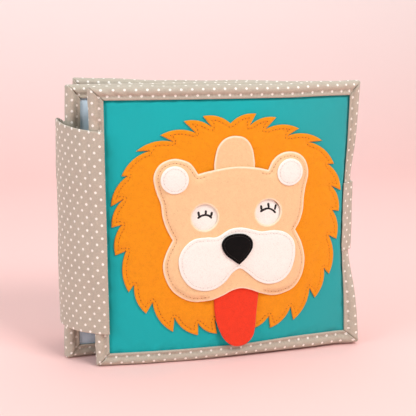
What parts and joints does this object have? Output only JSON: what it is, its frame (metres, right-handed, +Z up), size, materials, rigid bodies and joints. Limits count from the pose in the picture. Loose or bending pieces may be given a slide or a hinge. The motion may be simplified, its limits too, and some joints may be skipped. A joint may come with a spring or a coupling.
{
  "type": "cloth book",
  "caption": "Padded cloth book with bound covers and an inner page, felt lion with sliding eyes and loose tongue, cloth spine strap and a touch-close side tab.",
  "frame": {"origin": "middle of the footprint, on the surface that the closed book stands on", "axes": "+X from the spine to the fore-edge, -Y out of the front cover towards the reader, +Z up along the spine"},
  "size_m": [0.2262, 0.0808, 0.2],
  "materials": {
    "teal_cotton": "plain woven cotton",
    "lining_cotton": "plain woven cotton",
    "blue_cotton": "plain woven cotton",
    "taupe_cotton": "woven cotton printed with small cream dots",
    "wadding": "soft polyester wadding",
    "film": "thin crinkling polyester film",
    "orange_felt": "matted felt",
    "peach_felt": "matted felt",
    "white_felt": "matted felt",
    "black_felt": "matted felt",
    "red_felt": "matted felt",
    "cotton_tape": "woven tape",
    "nylon_patch": "hook and loop pile"
  },
  "bodies": {
    "back": {"back_cover_front_cloth": "lining_cotton", "back_cover_wadding": "wadding", "back_cover_crinkle_film": "film", "back_cover_back_cloth": "teal_cotton", "back_cover_binding_bottom": "taupe_cotton", "back_cover_binding_top": "taupe_cotton", "back_cover_binding_spine": "taupe_cotton", "back_cover_binding_fore": "taupe_cotton", "strap_rear_leg": "taupe_cotton", "loop_tab": "taupe_cotton", "loop_patch": "nylon_patch"},
    "spine": {"strap_spine_band": "taupe_cotton", "page_hinge_tape": "cotton_tape"},
    "front": {"front_cover_front_cloth": "teal_cotton", "front_cover_wadding": "wadding", "front_cover_crinkle_film": "film", "front_cover_back_cloth": "lining_cotton", "front_cover_binding_bottom": "taupe_cotton", "front_cover_binding_top": "taupe_cotton", "front_cover_binding_spine": "taupe_cotton", "front_cover_binding_fore": "taupe_cotton", "strap_front_leg": "taupe_cotton", "mane": "orange_felt", "lion_head": "peach_felt", "ear_disc_left": "white_felt", "ear_disc_right": "white_felt", "muzzle": "white_felt", "nose": "black_felt", "tab_sewn_end": "taupe_cotton"},
    "page": {"page_front_cloth": "blue_cotton", "page_wadding": "wadding", "page_crinkle_film": "film", "page_back_cloth": "blue_cotton", "page_binding_bottom": "taupe_cotton", "page_binding_top": "taupe_cotton", "page_binding_spine": "taupe_cotton", "page_binding_fore": "taupe_cotton"},
    "slider": {"slider_tab": "peach_felt", "slider_eye_panel": "white_felt", "tongue": "red_felt"},
    "tab": {"tab_flap": "taupe_cotton", "hook_patch": "nylon_patch"}
  },
  "joints": [
    {"name": "spine_turn", "type": "hinge", "parent": "back", "child": "spine", "pos_m": [-0.09944, 0.04009, 0.1], "axis": [0, 0, -1], "range_deg": [0, 60]},
    {"name": "cover_open", "type": "hinge", "parent": "spine", "child": "front", "pos_m": [-0.0906, -0.03299, 0.1], "axis": [0, 0, -1], "range_deg": [0, 120]},
    {"name": "page_turn", "type": "hinge", "parent": "spine", "child": "page", "pos_m": [-0.10772, -0.00868, 0.1], "axis": [0, 0, -1], "range_deg": [0, 24]},
    {"name": "eyes_slide", "type": "slide", "parent": "front", "child": "slider", "axis": [0, 0, 1], "range_m": [0, 0.016]},
    {"name": "tab_open", "type": "hinge", "parent": "front", "child": "tab", "pos_m": [0.11203, -0.01361, 0.1], "axis": [0, 0, -1], "range_deg": [0, 150]}
  ],
  "couplings": [
    {"joint": "spine_turn", "follows": "cover_open", "ratio": 0.5},
    {"joint": "page_turn", "follows": "cover_open", "ratio": 0.2}
  ]
}
